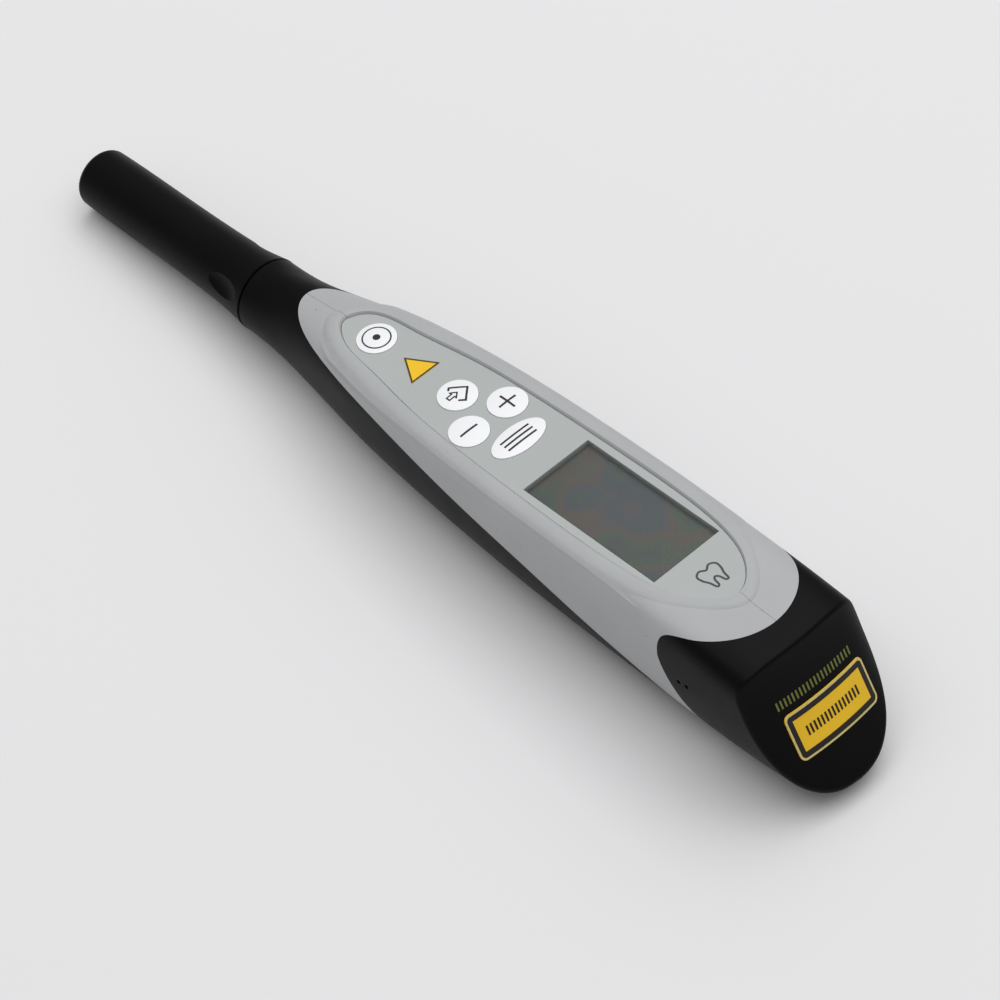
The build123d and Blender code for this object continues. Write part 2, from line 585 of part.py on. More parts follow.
def triangle_label():
    height = TRIANGLE_SIDE * math.sqrt(3) / 2
    corners = [(TRIANGLE_BASE_X, -TRIANGLE_SIDE / 2), (TRIANGLE_BASE_X, TRIANGLE_SIDE / 2),
               (TRIANGLE_BASE_X - height, 0)]
    return extrude(make_face(Polyline(*corners, close=True)), 0.1)


# ---------------------------------------------------------------- electronics
def main_board(inner):
    top, bottom = BOARD_TOP_Z, BOARD_TOP_Z - BOARD_THICK
    outline = [(-72, 4.4), (-60, 7.8), (-45, 9.6), (-25, 11.0), (10, 11.7), (20, 11.7),
               (20, -11.7), (10, -11.7), (-25, -11.0), (-45, -9.6), (-60, -7.8), (-72, -4.4)]
    board = Pos(0, 0, bottom) * extrude(make_face(Polyline(*outline, close=True)), top - bottom)
    for x, y in BOARD_SCREWS:
        board -= Pos(x, y, bottom) * Cylinder(0.7, 6)
    return board & inner


def key_positions():
    return list(ROUND_KEYS.values()) + [(MENU_KEY_X, 0.0)]


def key_switches():
    """One tactile switch under each key."""
    switches = []
    for x, y in key_positions():
        body = Box(4.5, 4.5, 1.1, align=(Align.CENTER, Align.CENTER, Align.MIN))
        plunger_height = SWITCH_PLUNGER_Z - BOARD_TOP_Z
        plunger = Cylinder(1.1, plunger_height, align=(Align.CENTER, Align.CENTER, Align.MIN))
        switches.append(Pos(x, y, BOARD_TOP_Z) * (body + plunger))
    return switches


def board_chips():
    bottom = BOARD_TOP_Z - BOARD_THICK
    chips = []
    for x, y, length, width, height in ((-50, 0, 7, 7, 1.2), (-31, -5, 6, 5, 1.0), (-31, 5, 4, 5, 1.0),
                                        (-3, 6, 10, 4, 1.2), (9, -6, 5, 5, 1.2)):
        chips.append(Pos(x, y, bottom) * Box(length, width, height,
                                             align=(Align.CENTER, Align.CENTER, Align.MAX)))
    return chips


def beeper():
    can = Cylinder(5.0, 2.6, align=(Align.CENTER, Align.CENTER, Align.MAX))
    can -= Pos(0, 0, -2.6) * Cylinder(0.9, 1.0)
    return Pos(-40.5, 0, BOARD_TOP_Z - BOARD_THICK) * can


def board_screws():
    screw = round_screw(5.0, 1.2, 0.9, 0.6)
    return [Pos(x, y, BOARD_TOP_Z) * screw for x, y in BOARD_SCREWS]


# ---------------------------------------------------------------- battery
def battery():
    radius, height = BATTERY_BUTTON
    end = BATTERY_FRONT_X + BATTERY_LENGTH
    can = fillet(rod(BATTERY_FRONT_X, end, BATTERY_RADIUS, BATTERY_Z).edges().filter_by(GeomType.CIRCLE),
                 0.5)
    return can + rod(end - 0.5, end + height, radius, BATTERY_Z)


def battery_tray(inner):
    """Open-topped trough with a front wall and a bulkhead that closes the body behind it."""
    wall = 1.0
    inside = BATTERY_RADIUS + 0.2
    trough = rod(TRAY_FRONT_X, BULKHEAD_X + 0.5, inside + wall, BATTERY_Z)
    trough -= rod(TRAY_FRONT_X + wall, 90, inside, BATTERY_Z)
    trough -= block((TRAY_FRONT_X + wall, BULKHEAD_X), (-12, 12), (BATTERY_Z + 4, 0))
    slice_box = block((BULKHEAD_X, BULKHEAD_X + BULKHEAD_THICK), (-30, 30), (-60, 30))
    bulkhead = inner & slice_box
    bulkhead -= rod(0, 90, inside, BATTERY_Z)
    bulkhead -= cap_region()
    return trough + bulkhead


def contact_spring():
    """Coil that presses on the battery's front end."""
    turns_height = BATTERY_FRONT_X - TRAY_FRONT_X - 1.0 - 0.6
    path = Helix(pitch=turns_height / 4.2, height=turns_height - 0.8, radius=3.0)
    section = Plane(path @ 0, z_dir=path % 0) * Circle(0.35)
    coil = sweep(section, path=path, is_frenet=True)
    return Pos(TRAY_FRONT_X + 1.0 + 0.6 + 0.4, 0, BATTERY_Z) * Rot(0, 90, 0) * coil


def front_contact():
    thickness = (TRAY_FRONT_X + 1.0, TRAY_FRONT_X + 1.5)
    plate = block(thickness, (-4.5, 4.5), (BATTERY_Z - 4.5, BATTERY_Z + 4.5))
    tab = block(thickness, (-1.5, 1.5), (BATTERY_Z, BATTERY_Z + 8.5))
    return plate + tab


def cap_contact():
    """Bent leaf in the cap that presses on the battery's button."""
    end = BATTERY_FRONT_X + BATTERY_LENGTH + BATTERY_BUTTON[1]
    thick = 0.4
    path = [(46.0, -9.7), (47.0, -12.7), (end + 0.3, BATTERY_Z + 0.8),
            (end + 0.3, BATTERY_Z - 2.2), (47.3, BATTERY_Z - 5.0)]
    back = [(x + thick, z) for x, z in reversed(path)]
    leaf = extrude(Plane.XZ * make_face(Polyline(*path, *back, close=True)), 3.0, both=True)
    return leaf


def rear_label():
    """Label that follows the cap's rear face."""
    sheet = rear_cutter(LABEL_THICK) - rear_cutter()
    face = Plane.YZ * RectangleRounded(LABEL_WIDTH, LABEL_HEIGHT, LABEL_CORNER_RADIUS)
    prism = Pos(40, *LABEL_CENTRE) * extrude(face, 40)
    return sheet & prism


# ---------------------------------------------------------------- assembly
def solids_of(shape):
    """Flat list of the solids in a shape or in a list of shapes."""
    if isinstance(shape, (list, tuple, ShapeList)):
        return [solid for item in shape for solid in solids_of(item)]
    return list(shape.solids())


def build_pen():
    cap, lower, left, right, inner = make_shells()
    nodes = {
        "grip_sleeve": grip_sleeve(),
        "tip_spring_ring": tip_spring_ring(),
        "turn_collar": turn_collar(),
        "collar_clip": collar_clip(),
        "nose_seal": nose_seal(),
        "nose_tube": nose_tube(),
        "light_guide": light_guide(),
        "collimating_lens": collimating_lens(),
        "optics_barrel": optics_barrel(),
        "beam_splitter": splitter_plate(SPLITTER_SIZE),
        "photodiode": photodiode(),
        "laser_diode": laser_diode(),
        "laser_board": laser_board(),
        "lower_shell": lower,
        "left_housing": left,
        "right_housing": right,
        "face_panel": face_panel(),
        "display_window": display_window(),
        "lcd_module": lcd_module(),
        "lcd_holder": lcd_holder(),
        "triangle_label": triangle_label(),
        "main_board": main_board(inner),
        "key_switches": key_switches(),
        "board_chips": board_chips(),
        "beeper": beeper(),
        "board_screws": board_screws(),
        "battery": battery(),
        "battery_tray": battery_tray(inner),
        "contact_spring": contact_spring(),
        "front_contact": front_contact(),
        "cap_contact": cap_contact(),
        "rear_cap": finish_cap(cap),
        "rear_label": rear_label(),
        "menu_key": Pos(MENU_KEY_X, 0, 0) * key_cap(MENU_KEY_LENGTH, MENU_KEY_WIDTH)}
    for name, (x, y) in ROUND_KEYS.items():
        nodes[name] = Pos(x, y, 0) * key_cap(2 * KEY_RADIUS, 2 * KEY_RADIUS)
    return nodes


def main():
    os.makedirs("parts", exist_ok=True)
    placed = {}
    for name, shape in build_pen().items():
        placed[name] = Compound(children=[Rot(0, -REST_TILT, 0) * solid for solid in solids_of(shape)])
    box = Compound(children=list(placed.values())).bounding_box()
    centre = box.center()
    shift = Pos(-centre.X, -centre.Y, -box.min.Z)
    print("tilt", round(REST_TILT, 3), "origin of the pen's axes", -centre.X, -centre.Y, -box.min.Z)
    for name, shape in placed.items():
        export_step(Compound(children=[shift * solid for solid in shape.solids()]), f"parts/{name}.step")


main()
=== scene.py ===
import bpy
import bmesh
import json
import math
from mathutils import Matrix, Vector
from mathutils.bvhtree import BVHTree


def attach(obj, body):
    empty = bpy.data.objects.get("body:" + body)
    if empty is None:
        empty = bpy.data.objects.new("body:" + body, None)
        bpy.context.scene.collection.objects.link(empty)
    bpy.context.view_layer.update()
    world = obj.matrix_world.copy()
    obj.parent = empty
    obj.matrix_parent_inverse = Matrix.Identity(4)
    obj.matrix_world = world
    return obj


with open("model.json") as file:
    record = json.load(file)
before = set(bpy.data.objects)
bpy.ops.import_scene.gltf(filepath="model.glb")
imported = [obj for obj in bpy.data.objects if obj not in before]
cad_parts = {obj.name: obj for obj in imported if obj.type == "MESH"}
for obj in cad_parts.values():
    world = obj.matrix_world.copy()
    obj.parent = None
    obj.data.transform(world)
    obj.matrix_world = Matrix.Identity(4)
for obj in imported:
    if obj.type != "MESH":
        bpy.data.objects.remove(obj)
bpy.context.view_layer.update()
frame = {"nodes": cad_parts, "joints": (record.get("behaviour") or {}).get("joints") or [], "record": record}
NODES = frame["nodes"]
MM = 0.001

# ---------------------------------------------------------------- stage, in metres, degrees and watts
CAMERA_PLACE = (0.46814, -0.35182, 0.69793)
CAMERA_TARGET = (0.02011, -0.00633, 0.015)
CAMERA_ROLL = -6.8
CAMERA_LENS = 169.3          # mm
CAMERA_SENSOR = 36.0         # mm
CAMERA_CLIP = (0.05, 20.0)
WORLD_STRENGTH = 0.34
LIGHTS = [("overhead", (0.0, 0.1, 1.6), 2.2, 22.0),      # name, place, side, power
          ("softbox", (-0.25, 0.55, 0.95), 0.9, 2.0)]
FLOOR_HALF = 3.0

# ---------------------------------------------------------------- marks, in millimetres
INK_TOP = 0.035              # ink stands this far above the surface
INK_BOTTOM = -0.03           # and reaches this far into it
INK_STEP = 0.3               # longest step along a stroke
RAY_START = 30.0             # rays start this far in front of a drawing plane
CIRCLE_POINTS = 48
DISC_POINTS = 40
DISC_SHARES = (0.02, 0.35, 0.7, 1.0)     # a disc's rings, as shares of its radius
CORNER_POINTS = 6            # steps round each corner of a rounded rectangle
CURVE_POINTS = 6             # steps between two points of a smooth ring

FINE_LINE = 0.3
LINE = 0.42
BOLD_LINE = 0.46
POWER_RING_RADIUS = 2.8
POWER_DOT_RADIUS = 0.78
PLUS_REACH = 2.1
MINUS_REACH = 2.15
MENU_REACH = 3.6
MENU_BARS = (-1.15, 0.0, 1.15)

TRIANGLE_INSET = 0.2         # from the triangle's edge to its border's middle line
TRIANGLE_LINE = 0.34
TOOTH_BEHIND = 24.4          # from the display's centre

LABEL_CORNER = 1.2
LABEL_MARGIN = 0.05          # yellow left outside the outline
LABEL_OUTLINE = 0.36
LABEL_BORDER = 1.05
LABEL_BORDER_CORNER = 0.45
TICK_PITCH = 0.9             # from one tick to the next
LABEL_TICKS = 15             # plain even rows that stand for no wording
LABEL_TICK_SIZE = (0.45, 1.9)
CAP_TICKS = 21
CAP_TICK_SIZE = (0.38, 1.7)
CAP_TICKS_ABOVE = 2.3        # from the label's top edge to the row's middle

SEAM_CLEARANCE = 0.03        # from the ring to the nose, and into the shell's front face
SEAM_RADIUS = 7.3
SEAM_SHARE = 0.7             # of the gap in front of the shell
SEAM_STEPS = 96

LABEL_YELLOW = (0.90, 0.55, 0.014)

# ---------------------------------------------------------------- the pen's own axes
# The pen lies tilted: ALONG runs to its rear, SIDE to its far side and OUT stands out of the key
# panel. The tilt is the direction in which the rear cap slides off.
JOINTS = {joint["name"]: joint for joint in frame["joints"]}
ALONG = Vector(JOINTS["cap_pull"]["axis"]).normalized()
OUT = -Vector(JOINTS["power_key_press"]["axis"]).normalized()
SIDE = OUT.cross(ALONG)


def node_range(name, direction):
    """Lowest and highest reach of a CAD node along a direction, in metres."""
    reach = [vertex.co.dot(direction) for vertex in NODES[name].data.vertices]
    return min(reach), max(reach)


def middle(name, direction):
    low, high = node_range(name, direction)
    return (low + high) / 2


def span(name, direction):
    low, high = node_range(name, direction)
    return high - low


PANEL_TOP = node_range("face_panel", OUT)[1]


# ---------------------------------------------------------------- camera, floor and light
def look(obj, position, target, roll=0.0):
    """Aim a camera or light at target, turned by roll degrees about its line of sight."""
    forward = (Vector(target) - Vector(position)).normalized()
    turn = forward.to_track_quat("-Z", "Y").to_matrix().to_4x4()
    spin = Matrix.Rotation(math.radians(roll), 4, "Z")
    obj.matrix_world = Matrix.Translation(position) @ turn @ spin


def add_camera():
    data = bpy.data.cameras.new("camera")
    data.lens = CAMERA_LENS
    data.sensor_width = CAMERA_SENSOR
    data.clip_start, data.clip_end = CAMERA_CLIP
    camera = bpy.data.objects.new("camera", data)
    bpy.context.scene.collection.objects.link(camera)
    look(camera, CAMERA_PLACE, CAMERA_TARGET, CAMERA_ROLL)
    bpy.context.scene.camera = camera


def set_world():
    world = bpy.data.worlds.new("studio")
    world.use_nodes = True
    background = world.node_tree.nodes["Background"]
    background.inputs["Color"].default_value = (1.0, 1.0, 1.0, 1)
    background.inputs["Strength"].default_value = WORLD_STRENGTH
    bpy.context.scene.world = world


def add_area_light(name, position, side, power):
    data = bpy.data.lights.new(name, "AREA")
    data.shape = "RECTANGLE"
    data.size = side
    data.size_y = side
    data.energy = power
    light = bpy.data.objects.new(name, data)
    bpy.context.scene.collection.objects.link(light)
    look(light, position, (0, 0, 0))


def add_floor():
    mesh = bpy.data.meshes.new("floor")
    low, high = -FLOOR_HALF, FLOOR_HALF
    corners = [(low, low, 0), (high, low, 0), (high, high, 0), (low, high, 0)]
    mesh.from_pydata(corners, [], [(0, 1, 2, 3)])
    floor = bpy.data.objects.new("floor", mesh)
    bpy.context.scene.collection.objects.link(floor)
    shader = Shader("floor", (0.80, 0.80, 0.81), 0.7, Specular_IOR_Level=0.2)
    floor.data.materials.append(shader.material)


# ---------------------------------------------------------------- materials
class Shader:
    """A material with helpers for its node tree."""

    def __init__(self, name, colour, roughness, **sockets):
        self.material = bpy.data.materials.new(name)
        self.material.use_nodes = True
        self.tree = self.material.node_tree
        self.shader = self.tree.nodes["Principled BSDF"]
        self.shader.inputs["Base Color"].default_value = (*colour, 1)
        self.shader.inputs["Roughness"].default_value = roughness
        for socket, value in sockets.items():
            self.shader.inputs[socket.replace("_", " ")].default_value = value
        coordinates = self.tree.nodes.new("ShaderNodeTexCoord")
        self.position = coordinates.outputs["Object"]

    def noise(self, size_mm, detail=3.0, roughness=0.5, stretch=None):
        """Noise whose features are about size_mm across."""
        node = self.tree.nodes.new("ShaderNodeTexNoise")
        node.inputs["Scale"].default_value = 1.0 / (size_mm * MM)
        node.inputs["Detail"].default_value = detail
        node.inputs["Roughness"].default_value = roughness
        source = self.position
        if stretch:
            mapping = self.tree.nodes.new("ShaderNodeMapping")
            mapping.inputs["Scale"].default_value = stretch
            self.tree.links.new(source, mapping.inputs["Vector"])
            source = mapping.outputs["Vector"]
        self.tree.links.new(source, node.inputs["Vector"])
        return node.outputs["Fac"]

    def ramp(self, factor, stops):
        """Colour that runs through (place, colour) stops as factor goes from 0 to 1."""
        node = self.tree.nodes.new("ShaderNodeValToRGB")
        elements = node.color_ramp.elements
        while len(elements) < len(stops):
            elements.new(0.5)
        for element, (place_on_ramp, colour) in zip(elements, stops):
            element.position = place_on_ramp
            element.color = (*colour, 1)
        self.tree.links.new(factor, node.inputs["Fac"])
        return node.outputs["Color"]

    def colour(self, output):
        self.tree.links.new(output, self.shader.inputs["Base Color"])

    def multiply(self, first, second):
        node = self.tree.nodes.new("ShaderNodeMix")
        node.data_type = "RGBA"
        node.blend_type = "MULTIPLY"
        node.inputs["Factor"].default_value = 1.0
        colours = [socket for socket in node.inputs if socket.type == "RGBA"]
        self.tree.links.new(first, colours[0])
        self.tree.links.new(second, colours[1])
        return next(socket for socket in node.outputs if socket.type == "RGBA")

    def drifting(self, factor, colour, amount):
        """The colour, a share darker where factor is low and as much lighter where it is high."""
        low = tuple(c * (1 - amount) for c in colour)
        high = tuple(c * (1 + amount) for c in colour)
        return self.ramp(factor, [(0.3, low), (0.7, high)])

    def vary_roughness(self, factor, low, high):
        node = self.tree.nodes.new("ShaderNodeMapRange")
        node.inputs["To Min"].default_value = low
        node.inputs["To Max"].default_value = high
        self.tree.links.new(factor, node.inputs["Value"])
        self.tree.links.new(node.outputs["Result"], self.shader.inputs["Roughness"])

    def bump(self, factor, depth_mm):
        node = self.tree.nodes.new("ShaderNodeBump")
        node.inputs["Strength"].default_value = 1.0
        node.inputs["Distance"].default_value = depth_mm * MM
        self.tree.links.new(factor, node.inputs["Height"])
        self.tree.links.new(node.outputs["Normal"], self.shader.inputs["Normal"])


def moulded(name, colour, roughness, grain_mm=0.25, grain_depth=0.006, drift=0.04, **sockets):
    """Injection-moulded plastic with a fine eroded grain."""
    shader = Shader(name, colour, roughness, **sockets)
    shader.colour(shader.drifting(shader.noise(18.0, 4.0, 0.6), colour, drift))
    shader.vary_roughness(shader.noise(6.0, 5.0, 0.65), roughness - 0.05, roughness + 0.05)
    shader.bump(shader.noise(grain_mm, 2.0, 0.5), grain_depth)
    return shader.material


def printed(name, colour):
    """Screen-printed ink: a little uneven in thickness and gloss."""
    roughness = 0.45
    shader = Shader(name, colour, roughness, Specular_IOR_Level=0.3)
    shader.colour(shader.drifting(shader.noise(0.8, 3.0, 0.6), colour, 0.12))
    shader.vary_roughness(shader.noise(0.5, 2.0, 0.5), roughness - 0.06, roughness + 0.06)
    return shader.material


def black_plastic():
    """Dark matt moulding with faint rub marks where hands polish it."""
    colour = (0.0024, 0.0024, 0.0026)
    roughness = 0.42
    shader = Shader("black_plastic", colour, roughness, Specular_IOR_Level=0.08)
    shader.colour(shader.drifting(shader.noise(14.0, 4.0, 0.6), colour, 0.15))
    shader.vary_roughness(shader.noise(9.0, 6.0, 0.7), roughness - 0.1, roughness + 0.08)
    shader.bump(shader.noise(0.22, 2.0, 0.5), 0.006)
    return shader.material


def grey_plastic():
    """Satin grey moulding with a few tiny dark specks."""
    colour = (0.425, 0.430, 0.442)
    shader = Shader("grey_plastic", colour, 0.48, Specular_IOR_Level=0.35)
    base = shader.drifting(shader.noise(16.0, 4.0, 0.6), colour, 0.035)
    specks = shader.ramp(shader.noise(0.8, 1.0, 0.3), [(0.16, (0.5,) * 3), (0.19, (1.0,) * 3)])
    shader.colour(shader.multiply(base, specks))
    shader.vary_roughness(shader.noise(5.0, 5.0, 0.65), 0.43, 0.53)
    shader.bump(shader.noise(0.25, 2.0, 0.5), 0.006)
    return shader.material


def clear_window():
    """Thin clear sheet over the display."""
    shader = Shader("clear_window", (0.10, 0.11, 0.105), 0.08, Specular_IOR_Level=0.5, Alpha=0.16)
    shader.vary_roughness(shader.noise(4.0, 4.0, 0.7), 0.05, 0.12)
    return shader.material


def display_glass():
    """Unlit display under its polariser: dark grey green with faint coloured stress bands."""
    shader = Shader("display_glass", (0.1, 0.11, 0.1), 0.35, Specular_IOR_Level=0.2)
    bands = [(0.28, (0.116, 0.112, 0.134)), (0.40, (0.106, 0.148, 0.118)),
             (0.50, (0.156, 0.132, 0.116)), (0.60, (0.112, 0.128, 0.150)),
             (0.72, (0.104, 0.148, 0.114))]
    shader.colour(shader.ramp(shader.noise(11.0, 1.5, 0.4), bands))
    return shader.material


def metal(name, colour, roughness):
    """Metal with fine streaks that run along the pen."""
    shader = Shader(name, colour, roughness, Metallic=1.0)
    streaks = shader.noise(0.6, 3.0, 0.6, stretch=(0.1, 1, 1))
    shader.vary_roughness(streaks, roughness - 0.08, roughness + 0.08)
    return shader.material


def optical_glass():
    shader = Shader("optical_glass", (0.95, 0.97, 1.0), 0.03, Transmission_Weight=1.0, IOR=1.5)
    shader.vary_roughness(shader.noise(3.0, 2.0), 0.02, 0.05)
    return shader.material


def make_materials():
    """Every material that the CAD nodes ask for, by slot. A material's own name may differ from
    its slot, because the nodes come with materials that already hold these names."""
    return {
        "black_plastic": black_plastic(),
        "grey_plastic": grey_plastic(),
        "panel_foil": moulded("panel_foil", (0.435, 0.462, 0.452), 0.5, grain_mm=0.12,
                              grain_depth=0.003, drift=0.02, Specular_IOR_Level=0.3),
        "key_white": moulded("key_white", (0.90, 0.905, 0.93), 0.38, grain_mm=0.1,
                             grain_depth=0.002, drift=0.01),
        "clear_window": clear_window(),
        "display_glass": display_glass(),
        "inner_plastic": moulded("inner_plastic", (0.03, 0.03, 0.032), 0.55),
        "seal_rubber": moulded("seal_rubber", (0.02, 0.02, 0.02), 0.7),
        "sensor_package": moulded("sensor_package", (0.025, 0.025, 0.028), 0.5),
        "switch_body": moulded("switch_body", (0.04, 0.04, 0.04), 0.5),
        "battery_jacket": moulded("battery_jacket", (0.05, 0.12, 0.3), 0.3),
        "label_yellow": moulded("label_yellow", LABEL_YELLOW, 0.42, grain_mm=0.2,
                                grain_depth=0.002, drift=0.05, Specular_IOR_Level=0.3),
        "circuit_board": moulded("circuit_board", (0.01, 0.12, 0.05), 0.35),
        "stainless": metal("stainless", (0.6, 0.6, 0.61), 0.3),
        "screw_steel": metal("screw_steel", (0.65, 0.65, 0.65), 0.3),
        "contact_metal": metal("contact_metal", (0.72, 0.7, 0.66), 0.25),
        "diode_can": metal("diode_can", (0.75, 0.55, 0.25), 0.25),
        "anodised_aluminium": metal("anodised_aluminium", (0.05, 0.05, 0.055), 0.35),
        "optical_glass": optical_glass()}


def paint_nodes(made):
    slots = {part["node"]: part["material_slot"] for part in frame["record"]["subparts"]}
    for name, node in NODES.items():
        node.data.materials.clear()
        node.data.materials.append(made[slots[name]])


# ---------------------------------------------------------------- printing on curved faces
class Skin:
    """A drawing plane in front of a CAD node, in millimetres, that drops points on its surface."""

    def __init__(self, node, centre, across, up):
        self.centre, self.across, self.up = centre, across, up
        self.normal = across.cross(up)
        mesh = NODES[node].data
        self.tree = BVHTree.FromPolygons([vertex.co for vertex in mesh.vertices],
                                         [polygon.vertices for polygon in mesh.polygons])

    def drop(self, u, v, lift):
        """The surface point under (u, v), raised by lift, in metres."""
        start = (self.centre + self.across * (u * MM) + self.up * (v * MM)
                 + self.normal * (RAY_START * MM))
        point = self.tree.ray_cast(start, -self.normal)[0]
        if point is None:
            raise ValueError(f"nothing under ({u:.2f}, {v:.2f})")
        return point + self.normal * (lift * MM)


def add_piece(name, mesh, material):
    """Turn a bmesh into an object with its normals outwards."""
    bmesh.ops.recalc_face_normals(mesh, faces=mesh.faces)
    data = bpy.data.meshes.new(name)
    mesh.to_mesh(data)
    mesh.free()
    data.materials.append(material)
    piece = bpy.data.objects.new(name, data)
    bpy.context.scene.collection.objects.link(piece)
    return piece


def add_sheet(mesh, skin, grid, closed):
    """Closed thin plate over a grid of (u, v) points: each row runs across the plate, and the
    rows follow each other along it. A closed plate's last row joins its first."""
    top, bottom = ([[mesh.verts.new(skin.drop(u, v, lift)) for u, v in row] for row in grid]
                   for lift in (INK_TOP, INK_BOTTOM))
    rows, columns = len(grid), len(grid[0])
    for row in range(rows if closed else rows - 1):
        after = (row + 1) % rows
        for column in range(columns - 1):
            beside = column + 1
            mesh.faces.new((top[row][column], top[row][beside],
                            top[after][beside], top[after][column]))
            mesh.faces.new((bottom[row][column], bottom[after][column],
                            bottom[after][beside], bottom[row][beside]))
        mesh.faces.new((top[row][0], top[after][0], bottom[after][0], bottom[row][0]))
        mesh.faces.new((top[row][-1], bottom[row][-1], bottom[after][-1], top[after][-1]))
    if not closed:
        for row, flip in ((0, False), (rows - 1, True)):
            for column in range(columns - 1):
                face = [top[row][column], bottom[row][column],
                        bottom[row][column + 1], top[row][column + 1]]
                mesh.faces.new(face[::-1] if flip else face)


def plates(name, skin, grids, closed, material):
    """One piece made of thin plates over grids of points."""
    mesh = bmesh.new()
    for grid in grids:
        add_sheet(mesh, skin, grid, closed)
    return add_piece(name, mesh, material)


def resampled(points, closed):
    """The same polyline in steps no longer than INK_STEP, its corners kept."""
    ends = points[1:] + points[:1] if closed else points[1:]
    result = []
    for (u0, v0), (u1, v1) in zip(points, ends):
        count = max(1, math.ceil(math.hypot(u1 - u0, v1 - v0) / INK_STEP))
        result += [(u0 + (u1 - u0) * k / count, v0 + (v1 - v0) * k / count)
                   for k in range(count)]
    return result if closed else result + [points[-1]]


def stroke(name, skin, points, width, material, closed=False):
    """Line of even width along a polyline, mitred at its corners."""
    path = resampled(points, closed)
    count = len(path)
    grid = []
    for index, (u, v) in enumerate(path):
        before = path[index - 1] if closed or index > 0 else path[index]
        after = path[(index + 1) % count] if closed or index < count - 1 else path[index]
        into = Vector((u - before[0], v - before[1]))
        out = Vector((after[0] - u, after[1] - v))
        into = into.normalized() if into.length > 0 else out.normalized()
        out = out.normalized() if out.length > 0 else into
        tangent = (into + out).normalized()
        side = Vector((-tangent.y, tangent.x))
        reach = width / 2 / max(0.5, tangent.dot(out))
        grid.append([(u + side.x * reach * k, v + side.y * reach * k) for k in (-1, 0, 1)])
    return plates(name, skin, [grid], closed, material)


def circle(radius, count=CIRCLE_POINTS):
    angles = [2 * math.pi * k / count for k in range(count)]
    return [(radius * math.cos(angle), radius * math.sin(angle)) for angle in angles]


def disc(name, skin, radius, material):
    """Flat round of rings, with a pinhole in its middle too small to see."""
    grid = [[(u * share, v * share) for share in DISC_SHARES]
            for u, v in circle(radius, DISC_POINTS)]
    return plates(name, skin, [grid], True, material)


def tick_row(name, skin, count, v_middle, size, material):
    """Even row of upright ticks, centred on u = 0."""
    width, height = size
    grids = []
    for index in range(count):
        left = (index - (count - 1) / 2) * TICK_PITCH - width / 2
        grids.append([[(left + width * i, v_middle + height * (j / 2 - 0.5)) for j in range(3)]
                      for i in range(2)])
    return plates(name, skin, grids, False, material)


def rounded_rectangle(width, height, radius):
    points = []
    for turn, (side_u, side_v) in enumerate(((1, 1), (-1, 1), (-1, -1), (1, -1))):
        corner_u = side_u * (width / 2 - radius)
        corner_v = side_v * (height / 2 - radius)
        for k in range(CORNER_POINTS + 1):
            angle = math.pi / 2 * (turn + k / CORNER_POINTS)
            points.append((corner_u + radius * math.cos(angle),
                           corner_v + radius * math.sin(angle)))
    return points


def smooth_ring(points):
    """Closed Catmull-Rom curve through points."""
    count = len(points)
    curve = []
    for index in range(count):
        p0, p1, p2, p3 = (Vector(points[(index + k) % count]) for k in (-1, 0, 1, 2))
        for k in range(CURVE_POINTS):
            t = k / CURVE_POINTS
            curve.append(tuple(0.5 * (2 * p1 + (p2 - p0) * t
                                      + (2 * p0 - 5 * p1 + 4 * p2 - p3) * t * t
                                      + (3 * p1 - p0 - 3 * p2 + p3) * t ** 3)))
    return curve


# ---------------------------------------------------------------- marks
def place(pieces, body):
    for piece in pieces:
        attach(piece, body)


def key_skin(name):
    """Drawing plane over a key: u runs along the pen to the rear, v to its far side."""
    centre = ALONG * middle(name, ALONG) + SIDE * middle(name, SIDE) + OUT * PANEL_TOP
    return Skin(name, centre, ALONG, SIDE)


def mark_keys(ink):
    skin = key_skin("power_key")
    ring = circle(POWER_RING_RADIUS)
    place([stroke("power_key_ring", skin, ring, FINE_LINE, ink, closed=True),
           disc("power_key_dot", skin, POWER_DOT_RADIUS, ink)], "power_key")

    skin = key_skin("save_key")
    box = [(-1.95, -0.6), (-2.5, 0.0), (0.0, 2.6), (2.35, 0.05), (1.35, -1.0)]
    arrow = [(-0.35, 0.25), (-1.3, -0.8), (-0.78, -0.8), (-0.78, -2.1), (0.08, -2.1),
             (0.08, -0.8), (0.6, -0.8)]
    place([stroke("save_key_box", skin, box, LINE, ink),
           stroke("save_key_arrow", skin, arrow, FINE_LINE, ink, closed=True)],
          "save_key")

    skin = key_skin("plus_key")
    across = [(0, -PLUS_REACH), (0, PLUS_REACH)]
    along = [(-PLUS_REACH, 0), (PLUS_REACH, 0)]
    place([stroke("plus_key_bar_across", skin, across, BOLD_LINE, ink),
           stroke("plus_key_bar_along", skin, along, BOLD_LINE, ink)],
          "plus_key")

    skin = key_skin("minus_key")
    across = [(0, -MINUS_REACH), (0, MINUS_REACH)]
    place([stroke("minus_key_bar", skin, across, BOLD_LINE, ink)], "minus_key")

    skin = key_skin("menu_key")
    bars = [stroke(f"menu_key_bar_{number}", skin, [(u, -MENU_REACH), (u, MENU_REACH)], LINE, ink)
            for number, u in enumerate(MENU_BARS)]
    place(bars, "menu_key")


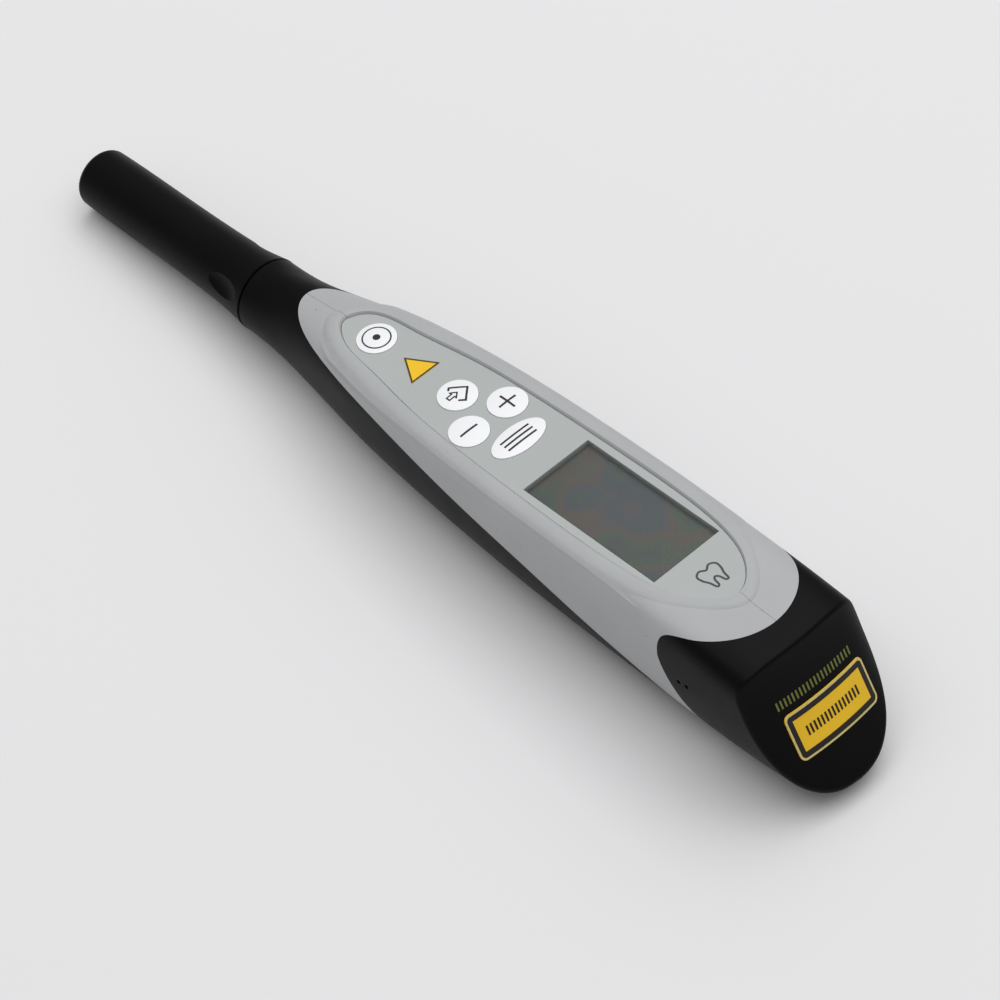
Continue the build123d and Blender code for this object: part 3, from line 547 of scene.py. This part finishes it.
def mark_triangle(ink):
    """Dark border of the yellow triangle, which carries no symbol."""
    nose, base = node_range("triangle_label", ALONG)
    centroid = nose + (base - nose) * 2 / 3
    skin = Skin("triangle_label", ALONG * centroid + OUT * PANEL_TOP, ALONG, SIDE)
    back = (base - centroid) / MM - TRIANGLE_INSET
    tip = (nose - centroid) / MM + 2 * TRIANGLE_INSET
    half_side = span("triangle_label", SIDE) / 2 / MM - TRIANGLE_INSET * math.sqrt(3)
    corners = [(back, -half_side), (back, half_side), (tip, 0)]
    place([stroke("triangle_border", skin, corners, TRIANGLE_LINE, ink, closed=True)],
          "pen_body")


def mark_panel(ink):
    """Small tooth outline behind the display, its crown towards the display."""
    along = middle("display_window", ALONG) + TOOTH_BEHIND * MM
    skin = Skin("face_panel", ALONG * along + OUT * PANEL_TOP, SIDE, -ALONG)
    right = [(0.0, 1.75), (1.2, 2.45), (2.35, 1.75), (2.3, 0.3), (1.75, -1.1), (1.45, -2.6),
             (0.85, -2.5), (0.55, -1.1)]
    outline = right + [(0.0, -0.55)] + [(-u, v) for u, v in reversed(right[1:])]
    place([stroke("tooth_mark", skin, smooth_ring(outline), LINE, ink, closed=True)],
          "pen_body")


def mark_rear(ink, cream, gold):
    """Borders of the rear label, and an even row of ticks on it and above it."""
    back = ALONG * node_range("rear_label", ALONG)[1] + OUT * middle("rear_label", OUT)
    skin = Skin("rear_label", back + SIDE * middle("rear_label", SIDE), SIDE, OUT)
    width, height = span("rear_label", SIDE) / MM, span("rear_label", OUT) / MM

    inset = LABEL_MARGIN + LABEL_OUTLINE / 2
    outline = rounded_rectangle(width - 2 * inset, height - 2 * inset, LABEL_CORNER - inset)
    inset += LABEL_OUTLINE / 2 + LABEL_BORDER / 2
    border = rounded_rectangle(width - 2 * inset, height - 2 * inset, LABEL_BORDER_CORNER)
    place([stroke("label_outline", skin, outline, LABEL_OUTLINE, cream, closed=True),
           stroke("label_border", skin, border, LABEL_BORDER, ink, closed=True),
           tick_row("label_ticks", skin, LABEL_TICKS, 0.0, LABEL_TICK_SIZE, ink)],
          "rear_cap")

    row = tick_row("rear_ticks", Skin("rear_cap", back, SIDE, OUT), CAP_TICKS,
                   height / 2 + CAP_TICKS_ABOVE, CAP_TICK_SIZE, gold)
    place([row], "rear_cap")


def add_marks():
    mark_keys(printed("ink_dark", (0.022, 0.022, 0.028)))
    mark_triangle(printed("ink_border", (0.05, 0.035, 0.01)))
    mark_panel(printed("ink_panel", (0.055, 0.065, 0.075)))
    mark_rear(printed("ink_label", (0.016, 0.009, 0.005)),
              printed("ink_cream", (0.62, 0.54, 0.22)),
              printed("ink_gold", (0.15, 0.16, 0.03)))


# ---------------------------------------------------------------- seam
def add_seam_shade_ring(material):
    """Dark ring on the body's front face that fills most of the seam gap: painted shade for the dark seam.
    It keeps the steel nose out of sight behind the seam.
    """
    axis = SIDE * middle("nose_tube", SIDE) + OUT * middle("nose_tube", OUT)
    front = node_range("lower_shell", ALONG)[0]
    gap = front - node_range("grip_sleeve", ALONG)[1]
    inner = span("nose_tube", OUT) / 2 + SEAM_CLEARANCE * MM
    outer = SEAM_RADIUS * MM
    rear, fore = front + SEAM_CLEARANCE * MM, front - SEAM_SHARE * gap
    profile = [(rear, inner), (rear, outer), (fore, outer), (fore, inner)]
    mesh = bmesh.new()
    rings = []
    for step in range(SEAM_STEPS):
        angle = 2 * math.pi * step / SEAM_STEPS
        outward = SIDE * math.cos(angle) + OUT * math.sin(angle)
        rings.append([mesh.verts.new(axis + ALONG * along + outward * radius)
                      for along, radius in profile])
    for here, after in zip(rings, rings[1:] + rings[:1]):
        for corner in range(len(profile)):
            beside = (corner + 1) % len(profile)
            mesh.faces.new((here[corner], here[beside], after[beside], after[corner]))
    # black ring standing in the seam gap as painted shade
    place([add_piece("seam_shade_ring", mesh, material)], "pen_body")


# ---------------------------------------------------------------- build
bpy.context.scene.view_settings.view_transform = "Standard"
add_camera()
set_world()
for light in LIGHTS:
    add_area_light(*light)
add_floor()
MADE = make_materials()
paint_nodes(MADE)
add_marks()
# painted shade: a dark ring put into the seam gap
add_seam_shade_ring(MADE["black_plastic"])
